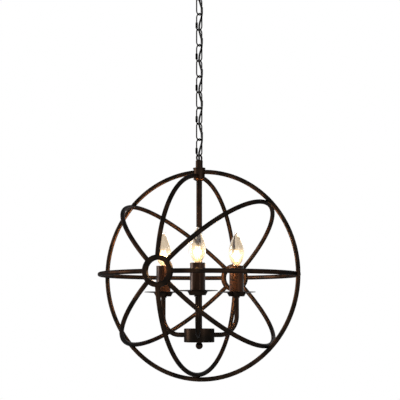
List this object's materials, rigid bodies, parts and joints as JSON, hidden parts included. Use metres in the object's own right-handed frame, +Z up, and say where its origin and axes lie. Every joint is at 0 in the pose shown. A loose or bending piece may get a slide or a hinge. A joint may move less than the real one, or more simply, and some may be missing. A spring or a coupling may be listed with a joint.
{
  "type": "orb chandelier",
  "caption": "Hanging orb of bent metal rods on a link chain, with a tube stem, curved arms, drip saucers, candle sleeves and clear flame bulbs inside.",
  "frame": {"origin": "on the ceiling plane, at the middle of the mounting bar and over the stem", "axes": "+Z is up along the stem and chain. The cage's axis runs along Y, through both small rings, and the outer ring and mounting bar lie along X."},
  "size_m": [0.4812, 0.4584, 0.9432],
  "materials": {
    "bronze_black_paint": "satin black-bronze paint",
    "sleeve_paint": "satin bronze paint",
    "chain_paint": "satin black paint",
    "zinc_steel": "zinc plated",
    "cord_jacket": "matt black flex",
    "lead_jacket": "plain white insulation",
    "lampholder_plastic": "white thermoset",
    "bulb_cap_metal": "pressed, semi-bright",
    "contact_brass": "plain",
    "bulb_glass": "clear, slightly warm"
  },
  "bodies": {
    "ceiling_fitting": {"mounting_bar": "zinc_steel", "ceiling_pipe": "zinc_steel", "bar_lock_nuts": "zinc_steel", "canopy": "bronze_black_paint", "canopy_loop": "bronze_black_paint", "supply_cord": "cord_jacket"},
    "link_01": {"chain_link_01": "chain_paint"},
    "link_02": {"chain_link_02": "chain_paint"},
    "link_03": {"chain_link_03": "chain_paint"},
    "link_04": {"chain_link_04": "chain_paint"},
    "link_05": {"chain_link_05": "chain_paint"},
    "link_06": {"chain_link_06": "chain_paint"},
    "link_07": {"chain_link_07": "chain_paint"},
    "link_08": {"chain_link_08": "chain_paint"},
    "link_09": {"chain_link_09": "chain_paint"},
    "link_10": {"chain_link_10": "chain_paint"},
    "orb": {"stem_loop": "bronze_black_paint", "hub": "bronze_black_paint", "hub_washer_and_dish": "bronze_black_paint", "outer_ring": "bronze_black_paint", "front_side_ring": "bronze_black_paint", "back_side_ring": "bronze_black_paint", "cage_rivets": "bronze_black_paint", "stem_tube": "bronze_black_paint", "cluster_drum": "bronze_black_paint", "cluster_cover": "bronze_black_paint", "finial": "bronze_black_paint", "rib_upper_front": "bronze_black_paint", "rib_upper_back": "bronze_black_paint", "rib_upper_right": "bronze_black_paint", "rib_right": "bronze_black_paint", "rib_lower_right": "bronze_black_paint", "rib_lower": "bronze_black_paint", "rib_lower_left": "bronze_black_paint", "rib_left": "bronze_black_paint", "rib_upper_left": "bronze_black_paint", "stem_pipe": "zinc_steel", "stem_cord": "cord_jacket", "lamp_leads": "lead_jacket", "arm_1": "bronze_black_paint", "drip_saucer_1": "bronze_black_paint", "candle_sleeve_1": "sleeve_paint", "lampholder_1": "lampholder_plastic", "arm_2": "bronze_black_paint", "drip_saucer_2": "bronze_black_paint", "candle_sleeve_2": "sleeve_paint", "lampholder_2": "lampholder_plastic", "arm_3": "bronze_black_paint", "drip_saucer_3": "bronze_black_paint", "candle_sleeve_3": "sleeve_paint", "lampholder_3": "lampholder_plastic"},
    "bulb_1_lift": {"bulb_contact_1": "contact_brass"},
    "bulb_1_turn": {"bulb_cap_1": "bulb_cap_metal", "bulb_glass_1": "bulb_glass"},
    "bulb_2_lift": {"bulb_contact_2": "contact_brass"},
    "bulb_2_turn": {"bulb_cap_2": "bulb_cap_metal", "bulb_glass_2": "bulb_glass"},
    "bulb_3_lift": {"bulb_contact_3": "contact_brass"},
    "bulb_3_turn": {"bulb_cap_3": "bulb_cap_metal", "bulb_glass_3": "bulb_glass"}
  },
  "joints": [
    {"name": "link_01_swing", "type": "hinge", "parent": "ceiling_fitting", "child": "link_01", "pos_m": [0, 0, -0.05281], "axis": [0.9272, -0.3746, 0], "range_deg": [-15, 15], "deforming": ["supply_cord"]},
    {"name": "link_02_swing", "type": "hinge", "parent": "link_01", "child": "link_02", "pos_m": [0, 0, -0.08941], "axis": [0.3746, 0.9272, 0], "range_deg": [-15, 15], "deforming": ["supply_cord"]},
    {"name": "link_03_swing", "type": "hinge", "parent": "link_02", "child": "link_03", "pos_m": [0, 0, -0.12651], "axis": [0.9272, -0.3746, 0], "range_deg": [-15, 15], "deforming": ["supply_cord"]},
    {"name": "link_04_swing", "type": "hinge", "parent": "link_03", "child": "link_04", "pos_m": [0, 0, -0.16361], "axis": [0.3746, 0.9272, 0], "range_deg": [-15, 15], "deforming": ["supply_cord"]},
    {"name": "link_05_swing", "type": "hinge", "parent": "link_04", "child": "link_05", "pos_m": [0, 0, -0.20071], "axis": [0.9272, -0.3746, 0], "range_deg": [-15, 15], "deforming": ["supply_cord"]},
    {"name": "link_06_swing", "type": "hinge", "parent": "link_05", "child": "link_06", "pos_m": [0, 0, -0.23781], "axis": [0.3746, 0.9272, 0], "range_deg": [-15, 15], "deforming": ["supply_cord"]},
    {"name": "link_07_swing", "type": "hinge", "parent": "link_06", "child": "link_07", "pos_m": [0, 0, -0.27491], "axis": [0.9272, -0.3746, 0], "range_deg": [-15, 15], "deforming": ["supply_cord"]},
    {"name": "link_08_swing", "type": "hinge", "parent": "link_07", "child": "link_08", "pos_m": [0, 0, -0.31201], "axis": [0.3746, 0.9272, 0], "range_deg": [-15, 15], "deforming": ["supply_cord"]},
    {"name": "link_09_swing", "type": "hinge", "parent": "link_08", "child": "link_09", "pos_m": [0, 0, -0.34911], "axis": [0.9272, -0.3746, 0], "range_deg": [-15, 15], "deforming": ["supply_cord"]},
    {"name": "link_10_swing", "type": "hinge", "parent": "link_09", "child": "link_10", "pos_m": [0, 0, -0.38621], "axis": [0.3746, 0.9272, 0], "range_deg": [-15, 15], "deforming": ["supply_cord"]},
    {"name": "orb_swing", "type": "hinge", "parent": "link_10", "child": "orb", "pos_m": [0, 0, -0.42331], "axis": [0.9272, -0.3746, 0], "range_deg": [-15, 15], "deforming": ["supply_cord"]},
    {"name": "bulb_1_lift", "type": "slide", "parent": "orb", "child": "bulb_1_lift", "axis": [0, 0, 1], "range_m": [0, 0.01269]},
    {"name": "bulb_1_turn", "type": "hinge", "parent": "bulb_1_lift", "child": "bulb_1_turn", "pos_m": [0.03512, -0.09149, -0.67082], "axis": [0, 0, 1], "range_deg": [0, 1620]},
    {"name": "bulb_2_lift", "type": "slide", "parent": "orb", "child": "bulb_2_lift", "axis": [0, 0, 1], "range_m": [0, 0.01269]},
    {"name": "bulb_2_turn", "type": "hinge", "parent": "bulb_2_lift", "child": "bulb_2_turn", "pos_m": [0.06167, 0.07616, -0.67082], "axis": [0, 0, 1], "range_deg": [0, 1620]},
    {"name": "bulb_3_lift", "type": "slide", "parent": "orb", "child": "bulb_3_lift", "axis": [0, 0, 1], "range_m": [0, 0.01269]},
    {"name": "bulb_3_turn", "type": "hinge", "parent": "bulb_3_lift", "child": "bulb_3_turn", "pos_m": [-0.09679, 0.01533, -0.67082], "axis": [0, 0, 1], "range_deg": [0, 1620]}
  ],
  "couplings": [
    {"joint": "bulb_1_lift", "follows": "bulb_1_turn", "m_per_rad": 0.00044882},
    {"joint": "bulb_2_lift", "follows": "bulb_2_turn", "m_per_rad": 0.00044882},
    {"joint": "bulb_3_lift", "follows": "bulb_3_turn", "m_per_rad": 0.00044882}
  ]
}
